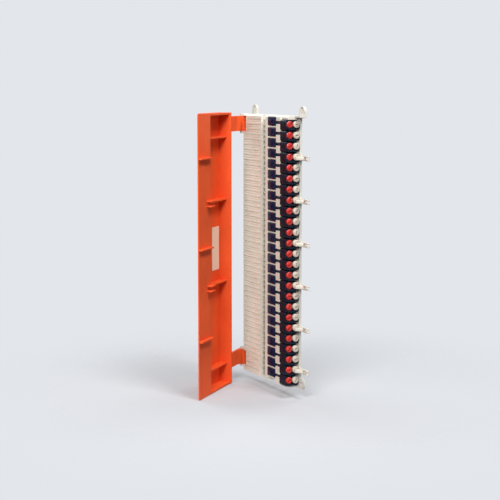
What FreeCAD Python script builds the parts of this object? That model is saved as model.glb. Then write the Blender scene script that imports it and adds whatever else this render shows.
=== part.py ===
import FreeCAD, Part
import math
import os

# Wall-mounted interface block for twenty-five lines, with a hinged cover.
# Millimetres. X runs to the right, Y into the wall and Z up.
# The origin is the middle of the back face, which lies on the wall at Y = 0.
# "Depth" is the distance out from the wall, so Y = -depth.

# Lines
LINES = 25
LINE_PITCH = 10.16
END_MARGIN = 2.5
PLUG_ROW_RISE = 2.0
TERMINAL_DROP = 2.4
HALF_HEIGHT = LINES * LINE_PITCH / 2 + END_MARGIN

# Mounting base
BASE_LEFT = -49.0
BASE_RIGHT = 49.0
PLATE = 2.5
WALL = 2.0
WALL_TOP = 12.7
EAR_ROOT = 1.6
EAR_WIDTH = 10.6
EAR_RISE = 9.0
EAR_CORNER = 5.2
SCREW_HOLE_R = 2.0
HOLE_RISE = 6.2
LEFT_HOLE_X = -47.6
RIGHT_HOLE_X = 52.5
LOW_HOLE_UP = 3.6
SHELF = 1.5
SHELF_DEPTH = 7.0

# Ridged front plate
STRIP = 2.0
STRIP_RIGHT = -7.4
STRIP_EDGE = 1.2
SLITS_PER_LINE = 2
SLIT_END_WEB = 1.6
SLIT_GAP = 0.8
SLIT_DEPTH = 0.7
SCORE_GAP = 0.7
SCORE_DEPTH = 0.35
TOP_BEVEL = 1.6
SLIT_PLANE = WALL_TOP + STRIP

# Wire clips in the groove
CLIP_WIDTH = 7.0
CLIP_SHEET = 1.2
CLIP_TOP = 14.0
CLIP_MOUTH = 1.8
CLIP_SLOT_DEPTH = 4.0

# Jack frame
FRAME_LEFT = 3.0
RAIL_WIDTH = 5.5
FRAME_FLOOR = 2.0
FRAME_FOOT = 6.8
FRAME_RIGHT = 34.4
RAIL_TOP = 15.7
PARTITION = 1.4
PARTITION_TOP = 15.2
SOCKET_BACK = 1.6
COMB_TOP = 15.5
COMB_GAP = 3.0

# Plugs and leads
PLUG_CLEARANCE = 0.2
NOSE_THICK = 5.2
NOSE_SEAT = 0.1
PLUG_LENGTH = 16.3
PLUG_TOP = 16.2
PLUG_EDGE = 0.8
LATCH_WIDTH = 3.2
LATCH_RISE = 0.9
LATCH_LENGTH = 10.0
LEAD_R = 1.1
LEAD_EXIT = 13.4
LEAD_DROP = 1.0
LEAD_FLATS = 6

# Terminal blocks
BLOCK_LEFT = 35.0
BLOCK_WIDTH = 12.0
BLOCK_GAP = 0.6
BLOCK_DROP = 0.7
BLOCK_TOP = 16.2
BLOCK_BACK_CUT = 2.0
BLOCKS_PER_STRIP = 5
RING_DEPTH = 12.8
RING_HEAD_R = 3.2
RING_HEAD = 2.4
TIP_DEPTH = 6.1
TIP_HEAD_R = 3.3
TIP_HEAD = 3.4
HEAD_FLATS = 8
SCREW_SLOT = 1.0
SCREW_SLOT_DEPTH = 1.2
SCREW_SLOT_TURN = 40.0

# Terminal bed
BED_FLOOR = 1.0
BED_RIB = 1.8
BED_END_TOP = 14.0
BED_CLEARANCE = 0.3

# Wire guides
GUIDE_EVERY = 4
GUIDE_REACH = 17.0
GUIDE_ROOT = 4.0
GUIDE_PRONG = 1.5
GUIDE_GAP = 1.6
GUIDE_THICK = 2.4
GUIDE_LIFT = 0.2
GUIDE_HOOK = 0.7
GUIDE_DROP = 1.0
GUIDE_WEB_GAP = 0.3
GUIDE_WEB_FLAT = 1.5
GUIDE_WEB_RUN = 6.3
GUIDE_WEB_TOP = 8.0

# Cover, drawn shut: "out" runs along the cover from the hinge, "over" away from the block
HINGE_OUTSET = 5.0
HINGE_DEPTH = 11.7
REST_ANGLE = 47.0
RIM_OVER = 3.2
SPINE_OVER = 2.0
COVER_WALL = 2.0
FREE_STRIP = 1.2
RECESS = 11.3
RECESS_START = 29.0
STRIP_START = 78.1
COVER_REACH = 107.0
STEP_DRAFT = 3.0
COVER_RISE = 1.7
COVER_DROP = 10.9
ARM_HEIGHT = 15.0
ARM_THICK = 2.4
ARM_TOP_INSET = 0.1
ARM_LOW_INSET = 4.5
KNUCKLE_R = 2.8
PIN_R = 1.3
PIN_LENGTH = 1.6
PIN_CLEARANCE = 0.15
LUG = 2.0
LUG_CLEARANCE = 0.3
LUG_R = 3.4
LUG_FLATS = 10
ARM_WEB = 9.5
ARM_NOTCH = 7.0
ARM_NOTCH_FOOT = 8.0
RIB = 1.5
RIB_RISE = 3.5
RIB_HEIGHTS = (89.4, 3.5, -84.4)
CATCH_HEIGHTS = (46.0, -35.6)
LEDGE_RISE = 8.0
END_LEDGE_TOP = 24.0
END_LEDGE_LOW = 21.0
PRONG = 1.2
PRONG_GAP = 3.7
PRONG_WIDTH = 9.0
PRONG_REACH = 5.0
LABEL = 0.3
LABEL_WIDTH = 17.5
LABEL_HEIGHT = 43.0
LABEL_MARGIN = 1.6
LABEL_MIDDLE = -2.6

HINGE_X = BASE_LEFT - HINGE_OUTSET
BLOCK_RIGHT = BLOCK_LEFT + BLOCK_WIDTH
FLOOR_TOP = FRAME_FOOT + FRAME_FLOOR
RAIL_RIGHT = FRAME_LEFT + RAIL_WIDTH
BAY = LINE_PITCH - PARTITION
PLUG_HEIGHT = BAY - 2 * PLUG_CLEARANCE
PLUG_LEFT = RAIL_RIGHT + PLUG_CLEARANCE
PLUG_RIGHT = PLUG_LEFT + PLUG_LENGTH
COMB_LEFT = PLUG_RIGHT + PLUG_CLEARANCE
BLOCK_HEIGHT = LINE_PITCH - BLOCK_GAP
BED_TOP = PLATE + BED_FLOOR


def box(x0, x1, depth0, depth1, z0, z1):
    """A block between two X values, two depths and two heights."""
    corner = FreeCAD.Vector(x0, -depth1, z0)
    return Part.makeBox(x1 - x0, depth1 - depth0, z1 - z0, corner)


def prism(points, z0, z1):
    """A plan outline of (x, depth) points, raised from z0 to z1."""
    loop = [FreeCAD.Vector(x, -depth, z0) for x, depth in points]
    face = Part.Face(Part.makePolygon(loop + loop[:1]))
    return face.extrude(FreeCAD.Vector(0, 0, z1 - z0))


def bar(points, x0, x1):
    """A side outline of (depth, z) points, drawn out from x0 to x1."""
    loop = [FreeCAD.Vector(x0, -depth, z) for depth, z in points]
    face = Part.Face(Part.makePolygon(loop + loop[:1]))
    return face.extrude(FreeCAD.Vector(x1 - x0, 0, 0))


def post(radius, x, depth, z0, z1):
    """An upright cylinder."""
    return Part.makeCylinder(radius, z1 - z0, FreeCAD.Vector(x, -depth, z0))


def knob(radius, x0, x1, depth, z, flats):
    """A round bar along X, drawn with a few flats."""
    points = []
    for flat in range(flats):
        angle = 2 * math.pi * (flat + 0.5) / flats
        points.append((depth + radius * math.cos(angle), z + radius * math.sin(angle)))
    return bar(points, x0, x1)


def arc(x, depth, radius, start, sweep, flats):
    """Plan points along an arc, from one angle through a sweep in degrees."""
    points = []
    for flat in range(flats + 1):
        angle = math.radians(start + sweep * flat / flats)
        points.append((x + radius * math.cos(angle), depth + radius * math.sin(angle)))
    return points


def join(shapes):
    """One clean solid from pieces that touch or overlap."""
    return shapes[0].multiFuse(shapes[1:]).removeSplitter()


def edges_along(shape, axis, test):
    """The straight edges of a shape along one axis whose middle passes a test."""
    chosen = []
    for edge in shape.Edges:
        if edge.Curve.TypeId != "Part::GeomLine":
            continue
        along = edge.tangentAt(edge.FirstParameter)
        if abs(abs(along.dot(axis)) - 1) < 1e-6 and test(edge.CenterOfMass):
            chosen.append(edge)
    return chosen


def top_bevel(x0, x1, depth):
    """The wedge to cut off the front edge of a piece at the top of the block."""
    low = HALF_HEIGHT - TOP_BEVEL
    return bar([(depth - TOP_BEVEL, HALF_HEIGHT), (depth, low), (depth, HALF_HEIGHT)], x0, x1)


def line_middle(line):
    """Height of a line's pitch line, counted from the top."""
    return (LINES - 1 - 2 * line) * LINE_PITCH / 2


def plug_z(line):
    return line_middle(line) + PLUG_ROW_RISE


def terminal_z(line):
    return plug_z(line) - TERMINAL_DROP


def lead_z(line):
    return plug_z(line) - LEAD_DROP


def block_z(line):
    return terminal_z(line) - BLOCK_DROP


def arm_spans():
    """Lower and upper height of each hinge arm."""
    top = HALF_HEIGHT - LUG - LUG_CLEARANCE + ARM_TOP_INSET
    low = -HALF_HEIGHT + ARM_LOW_INSET
    return [(top - ARM_HEIGHT, top), (low, low + ARM_HEIGHT)]


def ear(hole_x, hole_z, x0, x1, z0, z1):
    """A flat screw ear with two rounded free corners and its hole."""
    plate = box(x0, x1, 0, PLATE, z0, z1)
    free_side = (lambda point: point.z > hole_z) if hole_z > 0 else (lambda point: point.x > hole_x)
    plate = plate.makeFillet(EAR_CORNER, edges_along(plate, FreeCAD.Vector(0, 1, 0), free_side))
    into_wall = FreeCAD.Vector(0, 1, 0)
    drill = Part.makeCylinder(SCREW_HOLE_R, PLATE, FreeCAD.Vector(hole_x, -PLATE, hole_z), into_wall)
    return plate.cut(drill)


def hinge_lugs():
    """Plates above and below each arm, bored for the arm's pins."""
    lugs = []
    shoulder = math.degrees(math.asin(PIN_R / LUG_R))
    outline = arc(HINGE_X, HINGE_DEPTH, LUG_R, -90, shoulder - 270, LUG_FLATS)
    outline += [(BASE_LEFT, HINGE_DEPTH + PIN_R), (BASE_LEFT, HINGE_DEPTH - LUG_R)]
    for low, high in arm_spans():
        for z in (high + LUG_CLEARANCE, low - LUG_CLEARANCE - LUG):
            bore = post(PIN_R + PIN_CLEARANCE, HINGE_X, HINGE_DEPTH, z, z + LUG)
            lugs.append(prism(outline, z, z + LUG).cut(bore))
    return lugs


def mounting_base():
    """Back tray with walls, carrier ribs, screw ears, a shelf, the hinge lugs and a notch at each arm."""
    inner = HALF_HEIGHT - WALL
    top_hole = HALF_HEIGHT + HOLE_RISE
    low_hole = LOW_HOLE_UP - HALF_HEIGHT
    right_ear = RIGHT_HOLE_X + EAR_WIDTH / 2
    pieces = [box(BASE_LEFT, BASE_RIGHT, 0, PLATE, -HALF_HEIGHT, HALF_HEIGHT)]
    pieces.append(box(BASE_LEFT, BASE_LEFT + WALL, 0, WALL_TOP, -HALF_HEIGHT, HALF_HEIGHT))
    pieces.append(box(STRIP_RIGHT - WALL, STRIP_RIGHT, 0, WALL_TOP, -inner, inner))
    for z in (-HALF_HEIGHT, inner):
        pieces.append(box(BASE_LEFT, STRIP_RIGHT, 0, WALL_TOP, z, z + WALL))
        pieces.append(box(STRIP_RIGHT, FRAME_RIGHT, 0, FRAME_FOOT, z, z + WALL))
    for x in (FRAME_LEFT, FRAME_RIGHT - WALL):
        pieces.append(box(x, x + WALL, 0, FRAME_FOOT, -HALF_HEIGHT, HALF_HEIGHT))
    pieces.append(ear(LEFT_HOLE_X, top_hole, LEFT_HOLE_X - EAR_WIDTH / 2, LEFT_HOLE_X + EAR_WIDTH / 2,
                      HALF_HEIGHT - WALL, HALF_HEIGHT + EAR_RISE))
    pieces.append(ear(RIGHT_HOLE_X, top_hole, RIGHT_HOLE_X - EAR_WIDTH / 2, right_ear,
                      HALF_HEIGHT - WALL, HALF_HEIGHT + EAR_RISE))
    pieces.append(box(BASE_RIGHT - EAR_ROOT, right_ear, 0, SHELF_DEPTH, HALF_HEIGHT - SHELF, HALF_HEIGHT))
    pieces.append(ear(RIGHT_HOLE_X, low_hole, BASE_RIGHT - EAR_ROOT, right_ear,
                      low_hole - EAR_WIDTH / 2, low_hole + EAR_WIDTH / 2))
    notches = []
    for low, high in arm_spans():
        notches.append(box(BASE_LEFT, BASE_LEFT + WALL, ARM_NOTCH_FOOT, WALL_TOP,
                           low - LUG_CLEARANCE, min(high + LUG_CLEARANCE, inner)))
    return join(pieces + hinge_lugs()).cut(notches)


def fanning_strip():
    """Front plate with grooves and scores by turns, bevelled edges and a notch at each hinge arm."""
    plate = box(BASE_LEFT, STRIP_RIGHT, WALL_TOP, SLIT_PLANE, -HALF_HEIGHT, HALF_HEIGHT)
    upright = FreeCAD.Vector(0, 0, 1)
    middle = (BASE_LEFT + STRIP_RIGHT) / 2
    left_front = edges_along(plate, upright, lambda p: p.x < middle and -p.y > SLIT_PLANE - STRIP / 2)
    plate = plate.makeChamfer(STRIP_EDGE, left_front)
    cuts = []
    slits = SLITS_PER_LINE * LINES
    pitch = LINE_PITCH / SLITS_PER_LINE
    for slit in range(slits):
        z = (slits - 1 - 2 * slit) * pitch / 2
        cuts.append(box(BASE_LEFT, STRIP_RIGHT - SLIT_END_WEB, SLIT_PLANE - SLIT_DEPTH, SLIT_PLANE,
                        z - SLIT_GAP / 2, z + SLIT_GAP / 2))
        if slit:
            z += pitch / 2
            half = SCORE_GAP / 2
            score = [(SLIT_PLANE, z - half), (SLIT_PLANE - SCORE_DEPTH, z), (SLIT_PLANE, z + half)]
            cuts.append(bar(score, BASE_LEFT, STRIP_RIGHT - SLIT_END_WEB))
    for low, high in arm_spans():
        cuts.append(box(BASE_LEFT, BASE_LEFT + ARM_NOTCH, WALL_TOP, SLIT_PLANE,
                        low - LUG_CLEARANCE, high + LUG_CLEARANCE))
    cuts.append(top_bevel(BASE_LEFT, STRIP_RIGHT, SLIT_PLANE))
    return plate.cut(cuts)


def quick_clips():
    """Forked metal clips that stand on the back plate along the groove."""
    middle = (STRIP_RIGHT + FRAME_LEFT) / 2
    left = middle - CLIP_WIDTH / 2
    right = middle + CLIP_WIDTH / 2
    mouth = CLIP_MOUTH / 2
    outline = [(left, PLATE), (right, PLATE), (right, CLIP_TOP), (middle + mouth, CLIP_TOP),
               (middle, CLIP_TOP - CLIP_SLOT_DEPTH), (middle - mouth, CLIP_TOP), (left, CLIP_TOP)]
    clips = []
    count = SLITS_PER_LINE * LINES
    pitch = LINE_PITCH / SLITS_PER_LINE
    for clip in range(count):
        z = (count - 1 - 2 * clip) * pitch / 2
        clips.append(prism(outline, z - CLIP_SHEET / 2, z + CLIP_SHEET / 2))
    return Part.makeCompound(clips)


def jack_frame():
    """Floor, socket rail, the thin partitions between the plugs and the comb that holds the leads apart."""
    pieces = [box(FRAME_LEFT, FRAME_RIGHT, FRAME_FOOT, FLOOR_TOP, -HALF_HEIGHT, HALF_HEIGHT)]
    pieces.append(box(FRAME_LEFT, RAIL_RIGHT, FRAME_FOOT, RAIL_TOP, -HALF_HEIGHT, HALF_HEIGHT))
    tooth = LINE_PITCH - COMB_GAP
    for line in range(LINES + 1):
        z = plug_z(line) + LINE_PITCH / 2
        low = max(z - PARTITION / 2, -HALF_HEIGHT)
        high = min(z + PARTITION / 2, HALF_HEIGHT)
        pieces.append(box(RAIL_RIGHT, COMB_LEFT, FLOOR_TOP, PARTITION_TOP, low, high))
        z = lead_z(line) + LINE_PITCH / 2
        low = max(z - tooth / 2, -HALF_HEIGHT)
        high = min(z + tooth / 2, HALF_HEIGHT)
        pieces.append(box(COMB_LEFT, FRAME_RIGHT, FLOOR_TOP, COMB_TOP, low, high))
    cuts = []
    for line in range(LINES):
        z = plug_z(line)
        half = PLUG_HEIGHT / 2 + PLUG_CLEARANCE
        cuts.append(box(FRAME_LEFT + SOCKET_BACK, RAIL_RIGHT, FLOOR_TOP,
                        FLOOR_TOP + NOSE_THICK + 2 * NOSE_SEAT, z - half, z + half))
    cuts.append(top_bevel(FRAME_LEFT, FRAME_RIGHT, RAIL_TOP))
    return join(pieces).cut(cuts).removeSplitter()


def line_plug(line):
    """Plug body with a thinner nose in the socket and a latch lever on its face."""
    z = plug_z(line)
    half = PLUG_HEIGHT / 2
    body = box(PLUG_LEFT, PLUG_RIGHT, FLOOR_TOP, PLUG_TOP, z - half, z + half)
    front = edges_along(body, FreeCAD.Vector(1, 0, 0), lambda point: -point.y > PLUG_TOP - PLUG_EDGE)
    body = body.makeChamfer(PLUG_EDGE, front)
    nose = box(FRAME_LEFT + SOCKET_BACK + PLUG_CLEARANCE, PLUG_LEFT, FLOOR_TOP,
               FLOOR_TOP + NOSE_THICK, z - half, z + half)
    latch = box(PLUG_LEFT, PLUG_LEFT + LATCH_LENGTH, PLUG_TOP, PLUG_TOP + LATCH_RISE,
                z - LATCH_WIDTH / 2, z + LATCH_WIDTH / 2)
    return join([body, nose, latch])


def plug_leads():
    """Short leads, each from the tail of its plug through the comb to its terminal block."""
    leads = []
    for line in range(LINES):
        leads.append(knob(LEAD_R, PLUG_RIGHT, BLOCK_LEFT, LEAD_EXIT, lead_z(line), LEAD_FLATS))
    return Part.makeCompound(leads)


def terminal_bed():
    """Bed behind the terminal blocks, with a pointed rib between two blocks and a wall at each end."""
    pieces = [box(BLOCK_LEFT, BLOCK_RIGHT, PLATE, BED_TOP, -HALF_HEIGHT, HALF_HEIGHT)]
    for line in range(LINES - 1):
        z = block_z(line) - LINE_PITCH / 2
        rib = [(BED_TOP, z - BED_RIB), (BED_TOP + BED_RIB, z), (BED_TOP, z + BED_RIB)]
        pieces.append(bar(rib, BLOCK_LEFT, BLOCK_RIGHT))
    above = block_z(0) + BLOCK_HEIGHT / 2 + BED_CLEARANCE
    below = block_z(LINES - 1) - BLOCK_HEIGHT / 2 - BED_CLEARANCE
    pieces.append(box(BLOCK_LEFT, BLOCK_RIGHT, BED_TOP, BED_END_TOP, above, HALF_HEIGHT))
    pieces.append(box(BLOCK_LEFT, BLOCK_RIGHT, BED_TOP, BED_END_TOP, -HALF_HEIGHT, below))
    return join(pieces).cut(top_bevel(BLOCK_LEFT, BLOCK_RIGHT, BED_END_TOP))


def terminal_strip(first):
    """A run of black blocks, each cut back at its foot to clear the ribs of the bed."""
    half = BLOCK_HEIGHT / 2
    foot = BED_TOP + BLOCK_BACK_CUT
    blocks = []
    for line in range(first, min(first + BLOCKS_PER_STRIP, LINES)):
        low = block_z(line) - half
        high = block_z(line) + half
        outline = [(BED_TOP, low + BLOCK_BACK_CUT), (foot, low), (BLOCK_TOP, low), (BLOCK_TOP, high),
                   (foot, high), (BED_TOP, high - BLOCK_BACK_CUT)]
        blocks.append(bar(outline, BLOCK_LEFT, BLOCK_RIGHT))
    return Part.makeCompound(blocks)


def terminal_screws(depth, head_r, head):
    """Slotted screws whose heads seat on the right face of the blocks."""
    screws = []
    for line in range(LINES):
        z = terminal_z(line)
        top = BLOCK_RIGHT + head
        slot = box(top - SCREW_SLOT_DEPTH, top, depth - head_r, depth + head_r,
                   z - SCREW_SLOT / 2, z + SCREW_SLOT / 2)
        slot.rotate(FreeCAD.Vector(top, -depth, z), FreeCAD.Vector(1, 0, 0), SCREW_SLOT_TURN)
        screws.append(knob(head_r, BLOCK_RIGHT, top, depth, z, HEAD_FLATS).cut(slot))
    return Part.makeCompound(screws)


def wire_guides():
    """Two-pronged guides with a webbed root that reach out from the base, one to every few lines."""
    guides = []
    root = BASE_RIGHT + GUIDE_ROOT
    tip = BASE_RIGHT + GUIDE_REACH
    low = GUIDE_LIFT
    high = GUIDE_LIFT + GUIDE_THICK
    half = GUIDE_GAP / 2 + GUIDE_PRONG
    web_left = BLOCK_RIGHT + TIP_HEAD + GUIDE_WEB_GAP
    web_right = web_left + GUIDE_WEB_RUN
    web = [(web_left, low), (web_right, low), (web_right, high)]
    web += [(web_left + GUIDE_WEB_FLAT, GUIDE_WEB_TOP), (web_left, GUIDE_WEB_TOP)]
    for line in range(GUIDE_EVERY - 1, LINES, GUIDE_EVERY):
        z = terminal_z(line) - GUIDE_DROP
        pieces = [box(BASE_RIGHT, root, low, high, z - half, z + half), prism(web, z - half, z + half)]
        for side in (-1, 1):
            z0, z1 = sorted((z + side * GUIDE_GAP / 2, z + side * half))
            pieces.append(box(root, tip, low, high, z0, z1))
            pieces.append(box(tip - GUIDE_PRONG, tip, high, high + GUIDE_HOOK, z0, z1))
        guides.append(join(pieces))
    return Part.makeCompound(guides)


def shut(out, over):
    """Plan point of the shut cover, as (x, depth)."""
    return HINGE_X + out, HINGE_DEPTH + over


def cover_block(out0, out1, over0, over1, z0, z1):
    x0, depth0 = shut(out0, over0)
    x1, depth1 = shut(out1, over1)
    return box(x0, x1, depth0, depth1, z0, z1)


def step_at(over):
    """Where the leaning step between recess and free strip stands at a height over the block."""
    return STRIP_START - STEP_DRAFT * (over - RIM_OVER) / RECESS


def up_to_step(start, low_over, high_over, past, foot, head):
    """Run of the cover from a straight end to the leaning step, or past it by a wall."""
    outline = [shut(start, low_over), shut(step_at(low_over) + past, low_over)]
    outline.append(shut(step_at(high_over) + past, high_over))
    outline.append(shut(start, high_over))
    return prism(outline, foot, head)


def cover_panel(low, high):
    """Floor of the recess with its end walls and the ledges across it."""
    top = RIM_OVER + RECESS
    pieces = [up_to_step(RECESS_START - COVER_WALL, top, top + COVER_WALL, COVER_WALL, low, high)]
    for z in (low, high - COVER_WALL):
        pieces.append(up_to_step(RECESS_START, RIM_OVER, top, 0, z, z + COVER_WALL))
    for z in CATCH_HEIGHTS + (high - END_LEDGE_TOP, low + END_LEDGE_LOW):
        pieces.append(up_to_step(RECESS_START, top - LEDGE_RISE, top, 0, z - RIB / 2, z + RIB / 2))
    return pieces


def cover_strip(low, high):
    """Step up from the recess and the free strip, with its ribs and the two catch forks."""
    top = RIM_OVER + RECESS
    step = [shut(step_at(RIM_OVER), RIM_OVER), shut(step_at(RIM_OVER) + COVER_WALL, RIM_OVER)]
    step.append(shut(step_at(top) + COVER_WALL, top))
    step.append(shut(step_at(top), top))
    pieces = [prism(step, low, high)]
    pieces.append(cover_block(STRIP_START, COVER_REACH, RIM_OVER, RIM_OVER + FREE_STRIP, low, high))
    for z in RIB_HEIGHTS:
        pieces.append(cover_block(STRIP_START, COVER_REACH, RIM_OVER - RIB_RISE, RIM_OVER,
                                  z - RIB / 2, z + RIB / 2))
    for z in CATCH_HEIGHTS:
        for side in (-1, 1):
            z0, z1 = sorted((z + side * PRONG_GAP / 2, z + side * (PRONG_GAP / 2 + PRONG)))
            pieces.append(cover_block(STRIP_START, STRIP_START + PRONG_WIDTH, RIM_OVER - PRONG_REACH,
                                      RIM_OVER, z0, z1))
    return pieces


def cover_spine(low, high):
    """Hinge-side wall of the recess, and arms with a knuckle and a pin at each end of it."""
    pieces = [cover_block(RECESS_START - COVER_WALL, RECESS_START, SPINE_OVER, RIM_OVER + RECESS, low, high)]
    over = RIM_OVER + ARM_THICK
    web = [shut(-KNUCKLE_R, 0), shut(KNUCKLE_R, 0), shut(ARM_WEB, RIM_OVER), shut(ARM_WEB, over)]
    web.append(shut(-KNUCKLE_R, over))
    for foot, head in arm_spans():
        pieces.append(cover_block(-KNUCKLE_R, RECESS_START, RIM_OVER, over, foot, head))
        pieces.append(prism(web, foot, head))
        pieces.append(post(KNUCKLE_R, HINGE_X, HINGE_DEPTH, foot, head))
        pieces.append(post(PIN_R, HINGE_X, HINGE_DEPTH, foot - PIN_LENGTH, head + PIN_LENGTH))
    return pieces


def swing_open(shape):
    """Turn a piece of the shut cover to its resting angle."""
    axis_point = FreeCAD.Vector(HINGE_X, -HINGE_DEPTH, 0)
    shape.rotate(axis_point, FreeCAD.Vector(0, 0, 1), -REST_ANGLE)
    return shape


def cover_piece(pieces):
    """One moulded run of the cover, from floor to rim, at its resting angle."""
    low = -HALF_HEIGHT - COVER_DROP
    high = HALF_HEIGHT + COVER_RISE
    return swing_open(join(pieces(low, high)))


def cover_label():
    """Bare label on the recess panel, beside the hinge-side wall."""
    top = RIM_OVER + RECESS
    left = RECESS_START + LABEL_MARGIN
    low = LABEL_MIDDLE - LABEL_HEIGHT / 2
    return swing_open(cover_block(left, left + LABEL_WIDTH, top - LABEL, top, low, low + LABEL_HEIGHT))


def main():
    nodes = {"mounting_base": mounting_base(), "fanning_strip": fanning_strip(), "quick_clips": quick_clips(),
             "jack_frame": jack_frame(), "plug_leads": plug_leads(), "wire_guides": wire_guides(),
             "terminal_bed": terminal_bed(),
             "cover_panel": cover_piece(cover_panel), "cover_strip": cover_piece(cover_strip),
             "cover_spine": cover_piece(cover_spine), "cover_label": cover_label()}
    nodes["ring_screws"] = terminal_screws(RING_DEPTH, RING_HEAD_R, RING_HEAD)
    nodes["tip_screws"] = terminal_screws(TIP_DEPTH, TIP_HEAD_R, TIP_HEAD)
    for line in range(LINES):
        nodes["line_plug_%02d" % (line + 1)] = line_plug(line)
    for strip, first in enumerate(range(0, LINES, BLOCKS_PER_STRIP)):
        nodes["terminal_strip_%d" % (strip + 1)] = terminal_strip(first)
    os.makedirs("parts", exist_ok=True)
    for name, shape in nodes.items():
        shape.exportStep("parts/%s.step" % name)


main()
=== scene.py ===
import math

import bmesh
import bpy
from bpy.props import FloatProperty, FloatVectorProperty, IntProperty, PointerProperty
from bpy.types import Operator, Panel, PropertyGroup
from mathutils import Matrix, Vector


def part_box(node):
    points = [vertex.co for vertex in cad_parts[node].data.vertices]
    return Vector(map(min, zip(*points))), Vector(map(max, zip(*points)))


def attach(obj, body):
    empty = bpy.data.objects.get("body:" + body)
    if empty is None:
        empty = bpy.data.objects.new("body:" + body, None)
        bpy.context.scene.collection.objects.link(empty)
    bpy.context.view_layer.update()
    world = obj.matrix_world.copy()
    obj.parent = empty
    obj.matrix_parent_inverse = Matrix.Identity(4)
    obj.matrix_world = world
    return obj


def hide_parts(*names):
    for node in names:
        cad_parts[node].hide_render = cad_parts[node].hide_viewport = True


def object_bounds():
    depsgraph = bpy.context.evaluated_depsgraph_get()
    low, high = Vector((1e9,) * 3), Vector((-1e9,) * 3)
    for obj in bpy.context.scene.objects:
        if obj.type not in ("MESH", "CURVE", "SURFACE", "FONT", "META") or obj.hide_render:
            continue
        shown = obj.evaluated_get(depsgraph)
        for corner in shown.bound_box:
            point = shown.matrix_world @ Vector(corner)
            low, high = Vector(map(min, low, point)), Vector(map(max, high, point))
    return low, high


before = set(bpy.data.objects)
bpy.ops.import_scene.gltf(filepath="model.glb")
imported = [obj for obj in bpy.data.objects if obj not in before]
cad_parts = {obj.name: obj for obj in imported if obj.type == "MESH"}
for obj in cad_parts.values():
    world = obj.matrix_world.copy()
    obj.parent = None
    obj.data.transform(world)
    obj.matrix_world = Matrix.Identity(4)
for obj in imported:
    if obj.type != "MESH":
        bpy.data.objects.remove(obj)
CAD_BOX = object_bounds()

bl_info = {
    "name": "Line Interface Block",
    "version": (1, 0, 0),
    "blender": (4, 5, 0),
    "location": "View3D > Sidebar > Line Block",
    "description": "Dresses a wall-mounted line interface block with its plugs, terminals and hinged cover",
    "category": "Object",
}

# The drawing is in millimetres and the scene in metres. X runs right, depth runs out from the wall, Z up.
MM = 0.001
# A form that runs into another of the same piece lies this far inside it, so that no faces coincide.
INSET = 0.05
# Mesh points nearer to each other than this are merged.
MERGE = 0.001


def span(node, axis):
    """Low and high end of a frame node along x, depth or z, in millimetres."""
    low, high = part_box(node)
    if axis == "depth":
        return -high.y / MM, -low.y / MM
    return getattr(low, axis) / MM, getattr(high, axis) / MM


def middle(node, axis):
    """Middle of a frame node along x, depth or z, in millimetres."""
    return sum(span(node, axis)) / 2


# Places taken from the frame. Heights are those of the uppermost line.
PLUGS = sorted(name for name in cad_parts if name.startswith("line_plug_"))
STRIPS = sorted(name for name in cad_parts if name.startswith("terminal_strip_"))
LINES = len(PLUGS)
PITCH = span(PLUGS[0], "z")[0] - span(PLUGS[1], "z")[0]
HALF_COLUMN = (LINES - 1) * PITCH / 2
PLUG_Z = middle(PLUGS[0], "z")
LEAD_DEPTH = middle("plug_leads", "depth")
LEAD_Z = middle("plug_leads", "z") + HALF_COLUMN
BLOCK_LEFT, BLOCK_RIGHT = span(STRIPS[0], "x")
RING_DEPTH = middle("ring_screws", "depth")
TIP_DEPTH = middle("tip_screws", "depth")
SCREW_Z = middle("tip_screws", "z") + HALF_COLUMN
CLIPS = 2 * LINES
CLIP_PITCH = PITCH / 2
CLIP_Z = middle("quick_clips", "z") + (CLIPS - 1) * CLIP_PITCH / 2
LINES_PER_GUIDE = 4


# Settings

def srgb(red, green, blue):
    """Scene-linear colour from 8-bit screen values."""
    def channel(value):
        share = value / 255
        return share / 12.92 if share <= 0.04045 else ((share + 0.055) / 1.055) ** 2.4
    return channel(red), channel(green), channel(blue)


def length(name, text, millimetres):
    """A length that the panel shows in the scene's units."""
    return FloatProperty(name=name, description=text, default=millimetres * MM, min=0.0, unit="LENGTH")


def turn(name, text, degrees):
    """An angle that the panel shows in degrees."""
    return FloatProperty(name=name, description=text, default=math.radians(degrees), min=0.0,
                         subtype="ANGLE", unit="ROTATION")


def colour(name, text, red, green, blue):
    """A colour that the panel shows as a swatch."""
    return FloatVectorProperty(name=name, description=text, default=srgb(red, green, blue), size=3,
                               min=0.0, max=1.0, subtype="COLOR")


def power(name, text, watts):
    """The power of a lamp."""
    return FloatProperty(name=name, description=text, default=watts, min=0.0, subtype="POWER", unit="POWER")


class PlugSizes(PropertyGroup):
    """Sizes of the line plugs and their leads."""
    edge: length("Edge radius", "Rounding of the plug body", 0.7)
    latch_width: length("Latch width", "Width of the latch lever", 3.2)
    latch_length: length("Latch length", "Reach of the latch lever along the plug", 10.0)
    grip_rise: length("Grip rise", "Height of the grip ridges at the plug's tail", 0.35)
    lead_radius: length("Lead radius", "Radius of a lead's sheath", 1.1)
    lead_sag: length("Lead sag", "How far a lead drops on its way to the terminal", 0.35)
    wander: turn("Lead wander", "How far a lead turns off its neighbours", 0.6)
    seed: IntProperty(name="Seed", description="Seed of the lead wander", default=5, min=0)


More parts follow.
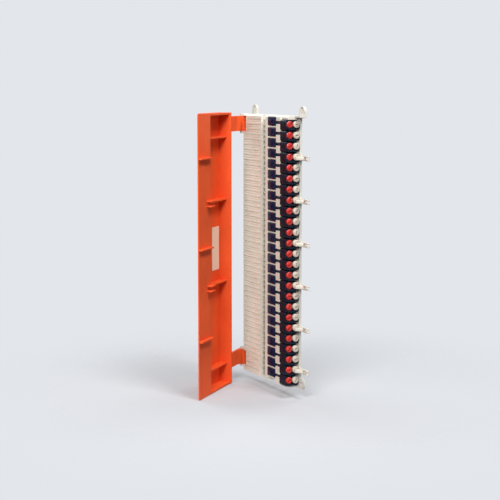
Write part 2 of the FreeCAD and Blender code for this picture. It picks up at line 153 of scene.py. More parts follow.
class TerminalSizes(PropertyGroup):
    """Sizes of the terminal blocks and their screws."""
    gap: length("Gap", "Gap between two blocks", 0.6)
    edge: length("Edge radius", "Rounding of the block's screw face", 0.6)
    back_corner: length("Back corner radius", "Rounding of the block's back corners", 2.4)
    front_corner: length("Front corner radius", "Rounding of the block's front corners", 1.2)
    ring_radius: length("Ring screw radius", "Radius of the front, red screw head", 3.2)
    ring_reach: length("Ring screw reach", "How far the front head stands out", 2.4)
    tip_radius: length("Tip screw radius", "Radius of the back, ivory screw head", 3.3)
    tip_reach: length("Tip screw reach", "How far the back head stands out", 3.4)
    slot: length("Slot width", "Width of the screwdriver slot", 1.0)
    slot_turn: turn("Slot turn", "Turn of the slots from level", 40.0)


class FieldSizes(PropertyGroup):
    """Sizes of the wire clips and the wire guides."""
    clip_sheet: length("Clip sheet", "Thickness of the clip metal", 1.0)
    clip_width: length("Clip width", "Width of a clip", 7.0)
    clip_mouth: length("Clip mouth", "Width of the clip's lead-in", 1.8)
    guide_prong: length("Guide prong", "Thickness of a guide prong", 1.5)
    guide_gap: length("Guide gap", "Gap between the two prongs", 1.6)
    guide_reach: length("Guide reach", "How far a guide stands out from the lip", 17.0)


class MouldSizes(PropertyGroup):
    """Edge rounding of the mouldings."""
    base_edge: length("Base edge", "Rounding of the base's edges", 0.35)
    slit_edge: length("Slit edge", "Rounding of the slits' edges", 0.22)
    frame_edge: length("Frame edge", "Rounding of the jack comb's and the terminal ribs' edges", 0.2)
    cover_edge: length("Cover edge", "Rounding of the cover's edges", 0.4)


class FinishColours(PropertyGroup):
    """Colours of the finishes."""
    beige: colour("Beige", "Moulded base and terminal ribs", 206, 202, 193)
    # Front beige is the base's beige with painted light: paler and less red, to stand for light that the slit
    # face and the jack comb lack and to offset the cover's orange bounce.
    front: colour("Front beige", "Paler mouldings of the slit face and the jack comb", 220, 222, 206)
    orange: colour("Orange", "Cover moulding", 234, 90, 42)
    label: colour("Label", "Bare label card", 252, 238, 220)
    plug: colour("Plug", "Smoky plug bodies", 26, 30, 58)
    sheath: colour("Sheath", "Lead sheaths", 36, 32, 42)
    black: colour("Black", "Terminal blocks", 20, 27, 40)
    red: colour("Red", "Ring screw heads", 190, 44, 36)
    ivory: colour("Ivory", "Tip screw heads", 198, 188, 174)
    guide: colour("Guide", "Wire guides", 212, 203, 189)
    metal: colour("Metal", "Tinned clips", 196, 192, 186)


class StageSizes(PropertyGroup):
    """Lights, floor and camera."""
    key: power("Key light", "Power of the lamp that faces the open cover", 16.5)
    fill: power("Fill light", "Power of the lamp that faces the slit face", 15.5)
    side: power("Side light", "Power of the lamp that faces the outside of the cover", 6.5)
    back: power("Back light", "Power of the lamp that faces the back", 6.5)
    sky: FloatProperty(name="Sky", description="Strength of the light from all round", default=0.10, min=0.0)
    floor: colour("Floor", "Pale floor", 186, 188, 192)
    backdrop: colour("Backdrop", "Pale background", 227, 230, 235)
    lens: FloatProperty(name="Lens", description="Focal length of the camera", default=96.48, min=1.0,
                        unit="CAMERA")


class LineBlockSettings(PropertyGroup):
    """All the settings of the block."""
    plug: PointerProperty(type=PlugSizes)
    terminal: PointerProperty(type=TerminalSizes)
    field: PointerProperty(type=FieldSizes)
    mould: PointerProperty(type=MouldSizes)
    finish: PointerProperty(type=FinishColours)
    stage: PointerProperty(type=StageSizes)


def in_mm(sizes, *names):
    """Lengths of a property group, in millimetres."""
    return [getattr(sizes, name) / MM for name in names]


# Drawing helpers

def spot(x, depth, z):
    """Scene point of a drawing point."""
    return Vector((x * MM, -depth * MM, z * MM))


def shifted(points, across, along):
    """Outline points moved to where they belong on a piece."""
    return [(across + first, along + second) for first, second in points]


def bend(across, along, radius, start, sweep, flats):
    """Outline points on an arc, from one angle through a sweep in degrees."""
    angles = [math.radians(start + sweep * flat / flats) for flat in range(flats + 1)]
    return [(across + radius * math.cos(angle), along + radius * math.sin(angle)) for angle in angles]


def soften(shape, edges, radius, segments):
    """Round a set of edges of a mesh in the making."""
    if radius > 0:
        bmesh.ops.bevel(shape, geom=list(edges), offset=radius * MM, segments=segments, profile=0.5,
                        affect="EDGES", clamp_overlap=True)


def add_block(shape, x, depth, z, radius=0.0, segments=2):
    """A block between (low, high) pairs, with all its edges rounded."""
    verts = bmesh.ops.create_cube(shape, size=1.0)["verts"]
    low = spot(x[0], depth[1], z[0])
    high = spot(x[1], depth[0], z[1])
    for vert in verts:
        vert.co = Vector([a + (b - a) * (c + 0.5) for a, b, c in zip(low, high, vert.co)])
    soften(shape, {edge for vert in verts for edge in vert.link_edges}, radius, segments)


def add_prism(shape, start, end):
    """A closed form between two like rings of points. Gives its faces, those of the two ends first."""
    rings = [[shape.verts.new(point) for point in ring] for ring in (start, end)]
    faces = [shape.faces.new(ring) for ring in rings]
    near, far = rings
    for here in range(len(near)):
        there = (here + 1) % len(near)
        faces.append(shape.faces.new((near[here], near[there], far[there], far[here])))
    bmesh.ops.recalc_face_normals(shape, faces=faces)
    return faces


def add_plan(shape, outline, z, radius=0.0, segments=2, corner=25.0):
    """A plan outline of (x, depth) points raised between two heights, with its sharp edges rounded."""
    low, high = ([spot(x, depth, level) for x, depth in outline] for level in z)
    edges = {edge for face in add_prism(shape, low, high) for edge in face.edges}
    sharp = [edge for edge in edges if edge.calc_face_angle(0) > math.radians(corner)]
    soften(shape, sharp, radius, segments)


def add_side(shape, outline, x, radius=0.0, segments=2):
    """A side outline of (depth, z) points drawn out along X, with the edges of its right face rounded."""
    left, right = ([spot(place, depth, z) for depth, z in outline] for place in x)
    right_face = add_prism(shape, left, right)[1]
    soften(shape, right_face.edges, radius, segments)


def add_turned(shape, profile, depth, z, sides):
    """A form turned about X from (x, radius) points that start and end on the axis."""
    rings = []
    for x, radius in profile:
        if radius <= 0:
            rings.append([shape.verts.new(spot(x, depth, z))])
            continue
        angles = [2 * math.pi * side / sides for side in range(sides)]
        rings.append([shape.verts.new(spot(x, depth + radius * math.cos(angle), z + radius * math.sin(angle)))
                      for angle in angles])
    faces = []
    for first, second in zip(rings, rings[1:]):
        for side in range(sides):
            there = (side + 1) % sides
            corners = [first[side % len(first)], first[there % len(first)],
                       second[there % len(second)], second[side % len(second)]]
            unique = [vert for index, vert in enumerate(corners) if vert not in corners[:index]]
            faces.append(shape.faces.new(unique))
    bmesh.ops.recalc_face_normals(shape, faces=faces)


# Object helpers

def new_object(name, data):
    """A new object in the scene, at the origin."""
    made = bpy.data.objects.new(name, data)
    bpy.context.scene.collection.objects.link(made)
    return made


def mesh_object(name, draw):
    """An object whose mesh is drawn by a function that takes a bmesh."""
    shape = bmesh.new()
    draw(shape)
    mesh = bpy.data.meshes.new(name)
    shape.to_mesh(mesh)
    shape.free()
    return new_object(name, mesh)


def unit_at(name, origin, draw):
    """A unit piece drawn in place, with its mesh moved so that the given point is its origin."""
    made = mesh_object(name, draw)
    made.data.transform(Matrix.Translation(-origin))
    return made


def baked(made):
    """The evaluated mesh of an object, as a plain mesh."""
    depsgraph = bpy.context.evaluated_depsgraph_get()
    return bpy.data.meshes.new_from_object(made.evaluated_get(depsgraph), depsgraph=depsgraph)


def boolean(made, tool, operation):
    """Join a tool to an object or cut it away, and drop the tool."""
    step = made.modifiers.new(operation.lower(), "BOOLEAN")
    step.operation = operation
    step.solver = "EXACT"
    step.use_self = operation == "UNION"
    step.object = tool
    made.data = baked(made)
    made.modifiers.clear()
    bpy.data.objects.remove(tool)


def tidy_mesh(mesh, flat=1.0):
    """Merge doubles and dissolve the splits inside flat faces."""
    shape = bmesh.new()
    shape.from_mesh(mesh)
    bmesh.ops.remove_doubles(shape, verts=shape.verts, dist=MERGE * MM)
    bmesh.ops.dissolve_limit(shape, angle_limit=math.radians(flat), verts=shape.verts, edges=shape.edges)
    shape.to_mesh(mesh)
    shape.free()


def merged_copy(node, name):
    """An object with a merged copy of a frame node's mesh."""
    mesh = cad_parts[node].data.copy()
    tidy_mesh(mesh)
    return new_object(name, mesh)


def smooth(mesh, angle=35.0):
    """Shade smooth, with the sharp edges kept."""
    mesh.shade_smooth()
    mesh.set_sharp_from_angle(angle=math.radians(angle))


def dress(made, finish, radius, segments=2, angle=40.0):
    """Give a moulding its finish and a live bevel on its sharp edges."""
    made.data.materials.clear()
    made.data.materials.append(find_finish(finish))
    smooth(made.data)
    step = made.modifiers.new("edges", "BEVEL")
    step.width = radius
    step.segments = segments
    step.limit_method = "ANGLE"
    step.angle_limit = math.radians(angle)
    step.use_clamp_overlap = True
    step.harden_normals = True


def settle(made, body, slot, *nodes):
    """Ride a finished piece on its body, in place of the nodes that it stands for."""
    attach(made, body)
    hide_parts(*nodes)


# Node helpers

def new_node(tree, kind, **inputs):
    """A new node with some of its inputs set; an underscore stands for a space in an input's name."""
    made = tree.nodes.new(kind)
    set_inputs(made, inputs)
    return made


def set_inputs(node, inputs):
    """Set the inputs of a node by name."""
    for socket, value in inputs.items():
        node.inputs[socket.replace("_", " ")].default_value = value


def wire(tree, *pairs):
    """Link (node, output) to (node, input) pairs."""
    for (giver, out), (taker, into) in pairs:
        tree.links.new(giver.outputs[out], taker.inputs[into])


def row_tree(follows_route):
    """A tree that sets copies of one piece in a row; the piece is an object or a section along a route."""
    tree = bpy.data.node_groups.new("lead row" if follows_route else "line row", "GeometryNodeTree")
    sources = ("Route", "Section") if follows_route else ("Piece",)
    kinds = [(name, "Object") for name in sources]
    kinds += [("Count", "Int"), ("Start", "Vector"), ("Step", "Vector"), ("Wander", "Vector"),
              ("Seed", "Int"), ("Finish", "Material")]
    for name, kind in kinds:
        tree.interface.new_socket(name, in_out="INPUT", socket_type="NodeSocket" + kind)
    tree.interface.new_socket("Row", in_out="OUTPUT", socket_type="NodeSocketGeometry")
    given = new_node(tree, "NodeGroupInput")
    result = new_node(tree, "NodeGroupOutput")
    line = new_node(tree, "GeometryNodeMeshLine")
    line.mode = "OFFSET"
    wander = new_node(tree, "FunctionNodeRandomValue")
    wander.data_type = "FLOAT_VECTOR"
    other_way = new_node(tree, "ShaderNodeVectorMath")
    other_way.operation = "SCALE"
    set_inputs(other_way, {"Scale": -1.0})
    copies = new_node(tree, "GeometryNodeInstanceOnPoints")
    real = new_node(tree, "GeometryNodeRealizeInstances")
    paint = new_node(tree, "GeometryNodeSetMaterial")
    source = new_node(tree, "GeometryNodeObjectInfo")
    wire(tree, ((given, sources[0]), (source, "Object")))
    unit = (source, "Geometry")
    if follows_route:
        section = new_node(tree, "GeometryNodeObjectInfo")
        sweep = new_node(tree, "GeometryNodeCurveToMesh", Fill_Caps=True)
        wire(tree, ((given, "Section"), (section, "Object")), (unit, (sweep, "Curve")),
             ((section, "Geometry"), (sweep, "Profile Curve")))
        unit = (sweep, "Mesh")
    wire(tree, ((given, "Count"), (line, "Count")), ((given, "Start"), (line, "Start Location")),
         ((given, "Step"), (line, "Offset")), ((given, "Wander"), (other_way, 0)),
         ((other_way, 0), (wander, "Min")), ((given, "Wander"), (wander, "Max")),
         ((given, "Seed"), (wander, "Seed")), ((line, "Mesh"), (copies, "Points")),
         (unit, (copies, "Instance")), ((wander, 0), (copies, "Rotation")),
         ((copies, "Instances"), (real, "Geometry")), ((real, "Geometry"), (paint, "Geometry")),
         ((given, "Finish"), (paint, "Material")), ((paint, "Geometry"), (result, "Row")))
    return tree


def set_row(name, sources, start, finish, count=LINES, pitch=PITCH, wander=(0.0, 0.0, 0.0), seed=0):
    """Set copies of a unit piece in a row downwards and return them as one plain mesh object."""
    made = new_object(name, bpy.data.meshes.new(name))
    tree = row_tree("Route" in sources)
    row = made.modifiers.new("row", "NODES")
    row.node_group = tree
    values = dict(sources, Count=count, Start=start, Step=spot(0.0, 0.0, -pitch), Wander=Vector(wander),
                  Seed=seed, Finish=find_finish(finish))
    for item in tree.interface.items_tree:
        if item.in_out == "INPUT":
            row[item.identifier] = values[item.name]
    mesh = baked(made)
    made.modifiers.remove(row)
    made.data = mesh
    if not mesh.polygons:
        raise RuntimeError("the row %s came out empty" % name)
    smooth(mesh)
    for unit in sources.values():
        bpy.data.objects.remove(unit)
    return made


# Finishes. Noise runs from about 0.3 to 0.7, so colour and gloss are spread over that range.

TINT_RANGE = (0.3, 0.72)
GLOSS_RANGE = (0.3, 0.7)
CLOUD_DETAIL = 4.0
GRAIN_DETAIL = 3.0
GRAIN_HEIGHT = 0.4 * MM
FINISHES = {
    "moulded_beige": dict(tone="beige", rough=(0.42, 0.6), shade=0.06, blotch=55.0, bump=0.12),
    # The front finish is the moulded beige with painted light: paler and less red, for the weak,
    # orange-tinted light on the front faces.
    "front_beige": dict(tone="front", rough=(0.42, 0.6), shade=0.06, blotch=55.0, bump=0.12),
    "cover_orange": dict(tone="orange", rough=(0.54, 0.7), shade=0.09, blotch=26.0, bump=0.1,
                         Specular_IOR_Level=0.16),
    "label_card": dict(tone="label", rough=(0.6, 0.8), shade=0.05, blotch=160.0, bump=0.2, grain=2200.0),
    "smoky_plug": dict(tone="plug", rough=(0.26, 0.42), shade=0.22, blotch=120.0, bump=0.05,
                       Specular_IOR_Level=0.12),
    "lead_sheath": dict(tone="sheath", rough=(0.3, 0.5), shade=0.2, blotch=140.0, bump=0.1),
    "terminal_black": dict(tone="black", rough=(0.3, 0.46), shade=0.2, blotch=120.0, bump=0.08,
                           Specular_IOR_Level=0.14),
    "screw_red": dict(tone="red", rough=(0.18, 0.34), shade=0.12, blotch=200.0, bump=0.05),
    "screw_ivory": dict(tone="ivory", rough=(0.26, 0.44), shade=0.08, blotch=200.0, bump=0.06),
    "guide_white": dict(tone="guide", rough=(0.3, 0.5), shade=0.05, blotch=150.0, bump=0.08),
    "tinned_metal": dict(tone="metal", rough=(0.22, 0.5), shade=0.25, blotch=420.0, bump=0.12, grain=1500.0,
                         Metallic=1.0),
}


def finish_material(name, base, rough, shade, blotch, bump, grain=900.0, **shader_values):
    """A moulded or metal surface: soft shifts of colour and gloss, a fine grain and set shader values."""
    made = bpy.data.materials.new(name)
    made.use_nodes = True
    tree = made.node_tree
    shader = tree.nodes["Principled BSDF"]
    set_inputs(shader, shader_values)
    place = new_node(tree, "ShaderNodeTexCoord")
    cloud = new_node(tree, "ShaderNodeTexNoise", Scale=blotch, Detail=CLOUD_DETAIL)
    fine = new_node(tree, "ShaderNodeTexNoise", Scale=grain, Detail=GRAIN_DETAIL)
    tint = new_node(tree, "ShaderNodeValToRGB")
    for stop, position, factor in zip(tint.color_ramp.elements, TINT_RANGE, (1.0 - shade, 1.0 + shade)):
        stop.position = position
        stop.color = [min(1.0, channel * factor) for channel in base] + [1.0]
    gloss = new_node(tree, "ShaderNodeMapRange", From_Min=GLOSS_RANGE[0], From_Max=GLOSS_RANGE[1],
                     To_Min=rough[0], To_Max=rough[1])
    relief = new_node(tree, "ShaderNodeBump", Strength=bump, Distance=GRAIN_HEIGHT)
    wire(tree, ((place, "Object"), (cloud, "Vector")), ((place, "Object"), (fine, "Vector")),
         ((cloud, "Fac"), (tint, "Fac")), ((tint, "Color"), (shader, "Base Color")),
         ((fine, "Fac"), (gloss, "Value")), ((gloss, "Result"), (shader, "Roughness")),
         ((fine, "Fac"), (relief, "Height")), ((relief, "Normal"), (shader, "Normal")))
    return made


def find_finish(name):
    """A finish by name, made on first use from the colours in the settings."""
    if name in bpy.data.materials:
        return bpy.data.materials[name]
    recipe = dict(FINISHES[name])
    base = getattr(bpy.context.scene.line_block.finish, recipe.pop("tone"))
    return finish_material(name, base, **recipe)


# Plugs. The body starts at a shoulder to the right of the sockets, and details stand on its top face.

BODY_START = 5.7
BODY_SEGMENTS = 3
NOSE_LAP = 1.0
NOSE_HEIGHT = 5.2
NOSE_EDGE = 0.3
LATCH_RISE = 0.9
LATCH_EDGE = 0.18
LATCH_ROOT = ((0.4, -0.4), (1.0, 0.25), (3.0, 0.45))
LATCH_TIP = ((-1.6, LATCH_RISE), (0.0, LATCH_RISE), (0.0, 0.35), (-1.8, 0.3))
LATCH_UNDER = ((3.4, -0.3),)
RAIL_GAP = 0.7
RAIL_WIDTH = 0.6
RAIL_RISE = 0.35
RAIL_SINK = 0.4
RAIL_START = 1.2
RAIL_STOP = 5.5
RIDGES = 4
RIDGE_START = 4.6
RIDGE_PITCH = 1.1
RIDGE_WIDTH = 0.55
RIDGE_SINK = 0.5
RIDGE_MARGIN = 0.9
DETAIL_EDGE = 0.15


def draw_plug(shape, sizes):
    """Plug body with its nose in the socket, a bent latch lever between two rails, and grip ridges."""
    left, right = span(PLUGS[0], "x")
    foot, crown = span(PLUGS[0], "depth")
    low, high = span(PLUGS[0], "z")
    edge, latch_width, latch_length, grip = in_mm(sizes, "edge", "latch_width", "latch_length", "grip_rise")
    start = span("jack_frame", "x")[0] + BODY_START
    top = crown - LATCH_RISE
    add_block(shape, (start, right), (foot, top), (low, high), edge, BODY_SEGMENTS)
    add_block(shape, (left, start + NOSE_LAP), (foot + INSET, foot + NOSE_HEIGHT),
              (low + INSET, high - INSET), NOSE_EDGE)
    lever = shifted(LATCH_ROOT, start, top)
    lever += shifted(LATCH_TIP, start + latch_length, top)
    lever += shifted(LATCH_UNDER, start, top)
    latch = latch_width / 2
    add_plan(shape, lever, (PLUG_Z - latch, PLUG_Z + latch), LATCH_EDGE)
    rail_run = (start + RAIL_START, right - RAIL_STOP)
    for side in (-1, 1):
        inner = PLUG_Z + side * (latch + RAIL_GAP)
        rail = sorted((inner, inner + side * RAIL_WIDTH))
        add_block(shape, rail_run, (top - RAIL_SINK, top + RAIL_RISE), rail, DETAIL_EDGE)
    for ridge in range(RIDGES):
        x = right - RIDGE_START + ridge * RIDGE_PITCH
        add_block(shape, (x, x + RIDGE_WIDTH), (top - RIDGE_SINK, top + grip),
                  (low + RIDGE_MARGIN, high - RIDGE_MARGIN), DETAIL_EDGE)


# Leads. Each route point is (x from the lead's end, depth from its axis, share of the sag).

LEAD_FROM_PLUG = ((-0.2, 0.0, 1.0), (1.6, 0.1, 1.0), (4.0, 0.7, 0.4))
LEAD_TO_BLOCK = ((-3.4, 0.6, -1.0), (-1.4, 0.0, -1.0), (0.2, 0.0, -1.0))
LEAD_STEPS = 6
LEAD_SIDES = 14


def lead_route(sizes):
    """A lead's route as a smooth spline about the lead's middle."""
    origin = middle("plug_leads", "x")
    sag = sizes.lead_sag / MM
    points = []
    for end, run in zip(span("plug_leads", "x"), (LEAD_FROM_PLUG, LEAD_TO_BLOCK)):
        points += [spot(end + x - origin, depth, sag * share) for x, depth, share in run]
    route = bpy.data.curves.new("lead_route", "CURVE")
    route.dimensions = "3D"
    route.resolution_u = LEAD_STEPS
    line = route.splines.new("NURBS")
    line.points.add(len(points) - 1)
    for point, place in zip(line.points, points):
        point.co = (*place, 1.0)
    line.order_u = 3
    line.use_endpoint_u = True
    return new_object("lead_route", route)


def lead_section(sizes):
    """The round section of a lead's sheath."""
    section = bpy.data.curves.new("lead_section", "CURVE")
    section.dimensions = "3D"
    ring = section.splines.new("POLY")
    ring.points.add(LEAD_SIDES - 1)
    for side, point in enumerate(ring.points):
        angle = 2 * math.pi * side / LEAD_SIDES
        point.co = (sizes.lead_radius * math.cos(angle), sizes.lead_radius * math.sin(angle), 0.0, 1.0)
    ring.use_cyclic_u = True
    return new_object("lead_section", section)


# Terminal blocks. The tray is a lip below the two screws, drawn from the block's foot and top.

FRONT_FLATS = 3
BACK_FLATS = 6
FACE_SEGMENTS = 3
COLLAR = ((-0.5, 0.0), (-0.5, 1.3), (-0.3, 1.4), (0.4, 1.4), (0.4, 0.0))
COLLAR_SIDES = 20
TRAY_GAP = 0.2
TRAY_LEAN = 20
TRAY_FLATS = 5
TRAY_MARGIN = 0.15
TRAY_BACK_END = ((-0.85, -2.0),)
TRAY_BACK_CORNER = ((-0.7, 2.2), (0.1, 0.9), (1.6, 0.0))
TRAY_FRONT_CORNER = ((-2.2, 0.0), (-0.8, 0.7), (-0.1, 2.0))
TRAY_FRONT_END = ((0.0, -1.4),)
TRAY_SINK = 0.6
TRAY_REACH = 2.2
TRAY_EDGE = 0.2


def block_z(sizes):
    """Height of the first terminal block."""
    return span(STRIPS[0], "z")[1] - (PITCH - sizes.gap / MM) / 2


def draw_block(shape, sizes):
    """Terminal block with round corners, a lead collar and a tray under its two screws."""
    z = block_z(sizes)
    half = (PITCH - sizes.gap / MM) / 2
    foot, top = span(STRIPS[0], "depth")
    edge, back, front = in_mm(sizes, "edge", "back_corner", "front_corner")
    outline = bend(top - front, z + half - front, front, 0, 90, FRONT_FLATS)
    outline += bend(foot + back, z + half - back, back, 90, 90, BACK_FLATS)
    outline += bend(foot + back, z - half + back, back, 180, 90, BACK_FLATS)
    outline += bend(top - front, z - half + front, front, 270, 90, FRONT_FLATS)
    add_side(shape, outline, (BLOCK_LEFT, BLOCK_RIGHT), edge, FACE_SEGMENTS)
    add_turned(shape, shifted(COLLAR, BLOCK_LEFT, 0.0), LEAD_DEPTH, LEAD_Z, COLLAR_SIDES)
    ring, tip = in_mm(sizes, "ring_radius", "tip_radius")
    low = z - half + TRAY_MARGIN
    tray = bend(RING_DEPTH, SCREW_Z, ring + TRAY_GAP, -TRAY_LEAN, TRAY_LEAN - 90, TRAY_FLATS)
    tray += bend(TIP_DEPTH, SCREW_Z, tip + TRAY_GAP, -90, TRAY_LEAN - 90, TRAY_FLATS)
    tray += shifted(TRAY_BACK_END, foot, SCREW_Z) + shifted(TRAY_BACK_CORNER, foot, low)
    tray += shifted(TRAY_FRONT_CORNER, top, low) + shifted(TRAY_FRONT_END, top, SCREW_Z)
    add_side(shape, tray, (BLOCK_RIGHT - TRAY_SINK, BLOCK_RIGHT + TRAY_REACH), TRAY_EDGE)


# Screw heads. Profile points are (x from the block or from the crown, share of the radius).

HEAD_ROOT = ((0.0, 0.0), (0.0, 0.9), (0.6, 1.0))
HEAD_DOME = ((-1.1, 1.0), (-0.5, 0.95), (-0.18, 0.82), (-0.04, 0.5), (0.0, 0.0))
HEAD_SIDES = 28
HEAD_FLAT = 0.5
SLOT_DEPTH = 1.2
SLOT_OVERRUN = 1.0
SCREW_ROWS = (
    dict(name="ring_screw_heads", node="ring_screws", size="ring", finish="screw_red", slot="red_plastic",
         slot_reach=2.4, spread=0.5, seed=11),
    dict(name="tip_screw_heads", node="tip_screws", size="tip", finish="screw_ivory", slot="ivory_plastic",
         slot_reach=1.8, spread=0.7, seed=23),
)


def draw_head(shape, depth, radius, reach):
    """Domed screw head with a shoulder and a chamfered rim."""
    profile = [(BLOCK_RIGHT + x, radius * share) for x, share in HEAD_ROOT]
    profile += [(BLOCK_RIGHT + reach + x, radius * share) for x, share in HEAD_DOME]
    add_turned(shape, profile, depth, SCREW_Z, HEAD_SIDES)


def slotted_head(name, depth, radius, reach, slot_reach, sizes):
    """A screw head about its seat on the block, with a turned slot cut into its dome."""
    made = mesh_object(name, lambda shape: draw_head(shape, depth, radius, reach))
    half = sizes.slot / MM / 2
    crown = BLOCK_RIGHT + reach
    tool = mesh_object("slot_tool", lambda shape: add_block(
        shape, (crown - SLOT_DEPTH, crown + SLOT_OVERRUN), (depth - slot_reach, depth + slot_reach),
        (SCREW_Z - half, SCREW_Z + half)))
    axis = spot(crown, depth, SCREW_Z)
    tool.data.transform(Matrix.Translation(axis) @ Matrix.Rotation(sizes.slot_turn, 4, "X")
                        @ Matrix.Translation(-axis))
    boolean(made, tool, "DIFFERENCE")
    tidy_mesh(made.data, HEAD_FLAT)
    made.data.transform(Matrix.Translation(-spot(BLOCK_RIGHT, depth, SCREW_Z)))
    return made


# Wire clips

CLIP_CHAMFER = 0.5
CLIP_THROAT = 0.22
CLIP_MOUTH_DEPTH = 2.2
CLIP_SLOT_DEPTH = 6.5
CLIP_EDGE = 0.1


def draw_clip(shape, sizes):
    """Forked clip with a narrow throat below its lead-in."""
    sheet, width, mouth = in_mm(sizes, "clip_sheet", "clip_width", "clip_mouth")
    x = middle("quick_clips", "x")
    foot, top = span("quick_clips", "depth")
    side = width / 2
    prong = [(side, foot), (side, top - CLIP_CHAMFER), (side - CLIP_CHAMFER, top), (mouth / 2, top),
             (CLIP_THROAT, top - CLIP_MOUTH_DEPTH), (CLIP_THROAT, top - CLIP_SLOT_DEPTH)]
    outline = [(x + across, depth) for across, depth in prong]
    outline += [(x - across, depth) for across, depth in reversed(prong)]
    add_plan(shape, outline, (CLIP_Z - sheet / 2, CLIP_Z + sheet / 2), CLIP_EDGE, 1)


# Wire guides. Lengths run out from the guide's root on the lip.

GUIDE_HEIGHT = 2.4
GUIDE_EDGE = 0.3
ROOT_RUN = 4.6
WEB_START = 1.7
WEB_RUN = 6.3
WEB_CREST = 1.5
WEB_SHARE = 0.6
PRONG_START = 4.0
HOOK_UNDER = ((-0.8, 0.0), (0.0, 0.8))
HOOK_OVER = ((0.0, 0.7), (-1.0, 0.7), (-1.8, 0.0))


def guide_z(sizes):
    """Height of the first wire guide."""
    return span("wire_guides", "z")[1] - (sizes.guide_gap / 2 + sizes.guide_prong) / MM


def draw_guide(shape, sizes):
    """Two-pronged wire guide with a gusset at its root and hooked tips."""
    z = guide_z(sizes)
    prong, gap, reach = in_mm(sizes, "guide_prong", "guide_gap", "guide_reach")
    inner = gap / 2
    left = span("wire_guides", "x")[0]
    right = left + reach
    foot, crest = span("wire_guides", "depth")
    top = foot + GUIDE_HEIGHT
    root = inner + prong - INSET
    add_block(shape, (left, left + ROOT_RUN), (foot + INSET, top - INSET), (z - root, z + root), GUIDE_EDGE)
    web = left + WEB_START
    web_end = web + WEB_RUN
    gusset = [(web, foot + INSET), (web_end, foot + INSET), (web_end, top), (web + WEB_CREST, crest),
              (web, crest)]
    half_web = inner + prong * WEB_SHARE
    add_plan(shape, gusset, (z - half_web, z + half_web), GUIDE_EDGE)
    start = left + PRONG_START
    outline = [(start, foot)] + shifted(HOOK_UNDER, right, foot) + shifted(HOOK_OVER, right, top)
    outline.append((start, top))
    for side in (-1, 1):
        add_plan(shape, outline, sorted((z + side * inner, z + side * (inner + prong))), GUIDE_EDGE)


# Stage. Places are in metres; each lamp takes its power from the setting of its name.

FLOOR_RADIUS = 4.0
FLOOR_SIDES = 96
FLOOR_DROP = 0.5 * MM
FLOOR_ROUGHNESS = 0.9
FLOOR_BLOTCH = 6.0
FLOOR_SHADES = (0.98, 1.0)
FADE_START = 0.08
FADE_END = 0.4
LAMPS = (("key", (0.80, 0.08, 1.30), 0.4),
         ("fill", (0.79, -0.75, 0.66), 0.6),
         ("side", (-1.03, -0.37, 0.75), 0.7),
         ("back", (-0.38, 1.03, 0.75), 0.7))
CAMERA_PLACE = (1.1608, -0.5968, 0.1621)
CAMERA_LOOK = (-0.8917, 0.4349, -0.1253)
SENSOR_WIDTH = 36.0
CLIP_START = 0.01
WHITE = (1.0, 1.0, 1.0, 1.0)


def floor_material(stage):
    """Pale matt floor that fades into the background with distance."""
    made = bpy.data.materials.new("floor_pale")
    made.use_nodes = True
    tree = made.node_tree
    shader = tree.nodes["Principled BSDF"]
    set_inputs(shader, {"Roughness": FLOOR_ROUGHNESS})
    place = new_node(tree, "ShaderNodeTexCoord")
    cloud = new_node(tree, "ShaderNodeTexNoise", Scale=FLOOR_BLOTCH)
    tint = new_node(tree, "ShaderNodeValToRGB")
    for stop, factor in zip(tint.color_ramp.elements, FLOOR_SHADES):
        stop.color = [channel * factor for channel in stage.floor] + [1.0]
    distance = new_node(tree, "ShaderNodeVectorMath")
    distance.operation = "LENGTH"
    fade = new_node(tree, "ShaderNodeMapRange", From_Min=FADE_START, From_Max=FADE_END)
    fade.interpolation_type = "SMOOTHSTEP"
    clear = new_node(tree, "ShaderNodeBsdfTransparent")
    mix = new_node(tree, "ShaderNodeMixShader")
    wire(tree, ((place, "Object"), (cloud, "Vector")), ((cloud, "Fac"), (tint, "Fac")),
         ((tint, "Color"), (shader, "Base Color")), ((place, "Object"), (distance, 0)),
         ((distance, "Value"), (fade, "Value")), ((fade, "Result"), (mix, 0)), ((shader, "BSDF"), (mix, 1)),
         ((clear, "BSDF"), (mix, 2)), ((mix, "Shader"), (tree.nodes["Material Output"], "Surface")))
    return made


def world_light(stage):
    """Even light from all round, with a pale background to the camera and in reflections."""
    made = bpy.data.worlds.new("studio")
    made.use_nodes = True
    tree = made.node_tree
    lit = tree.nodes["Background"]
    set_inputs(lit, {"Color": WHITE, "Strength": stage.sky})
    seen = new_node(tree, "ShaderNodeBackground", Color=(*stage.backdrop, 1.0), Strength=1.0)
    rays = new_node(tree, "ShaderNodeLightPath")
    direct = new_node(tree, "ShaderNodeMath")
    direct.operation = "MAXIMUM"
    shown = new_node(tree, "ShaderNodeMath")
    shown.operation = "MAXIMUM"
    mix = new_node(tree, "ShaderNodeMixShader")
    wire(tree, ((rays, "Is Camera Ray"), (direct, 0)), ((rays, "Is Glossy Ray"), (direct, 1)),
         ((direct, 0), (shown, 0)), ((rays, "Is Transmission Ray"), (shown, 1)), ((shown, 0), (mix, 0)),
         ((lit, "Background"), (mix, 1)), ((seen, "Background"), (mix, 2)),
         ((mix, "Shader"), (tree.nodes["World Output"], "Surface")))
    return made


def aim(made, place, direction):
    """Set a lamp or a camera at a place, turned to look along a direction."""
    made.location = place
    made.rotation_euler = direction.to_track_quat("-Z", "Y").to_euler()


# Operators

